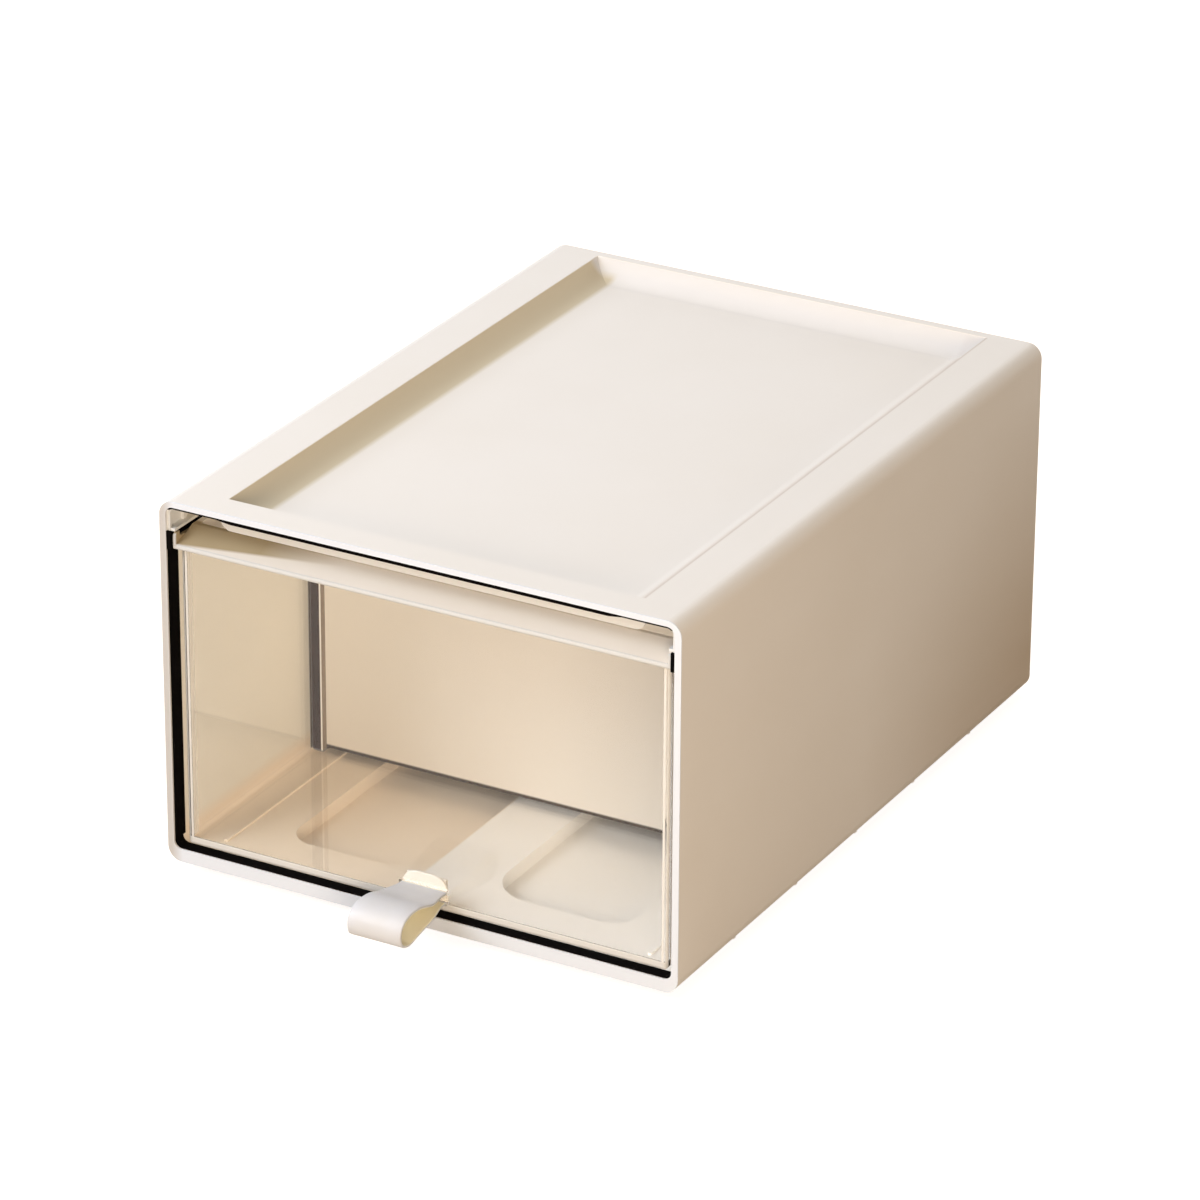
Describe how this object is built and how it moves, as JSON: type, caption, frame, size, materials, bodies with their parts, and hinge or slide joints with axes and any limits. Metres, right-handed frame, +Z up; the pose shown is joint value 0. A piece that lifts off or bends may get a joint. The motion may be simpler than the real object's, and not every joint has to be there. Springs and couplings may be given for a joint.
{
  "type": "stackable drawer box",
  "caption": "Open-fronted stacking case with a recessed top and nesting feet, and a clear drawer with a finger scoop, a cross divider and a soft pull strap.",
  "frame": {"origin": "on the standing plane, under the middle of the case's footprint", "axes": "+X to the right seen from the front, +Y from the drawer's front to the back, +Z up"},
  "size_m": [0.24, 0.3585, 0.1665],
  "materials": {
    "cream_plastic": "satin moulded polypropylene, warm white",
    "clear_plastic": "clear glossy polystyrene",
    "dark_lining": "matt black",
    "soft_strap": "soft satin elastomer, off-white"
  },
  "bodies": {
    "case": {"case_body": "cream_plastic", "mouth_lining": "dark_lining", "top_lining": "dark_lining"},
    "drawer": {"drawer_bin": "clear_plastic", "drawer_rim": "cream_plastic", "divider": "cream_plastic", "pull_strap": "soft_strap", "strap_anchor": "cream_plastic"}
  },
  "joints": [
    {"name": "drawer_slide", "type": "slide", "parent": "case", "child": "drawer", "axis": [0, -1, 0], "range_m": [0, 0.2935]}
  ]
}
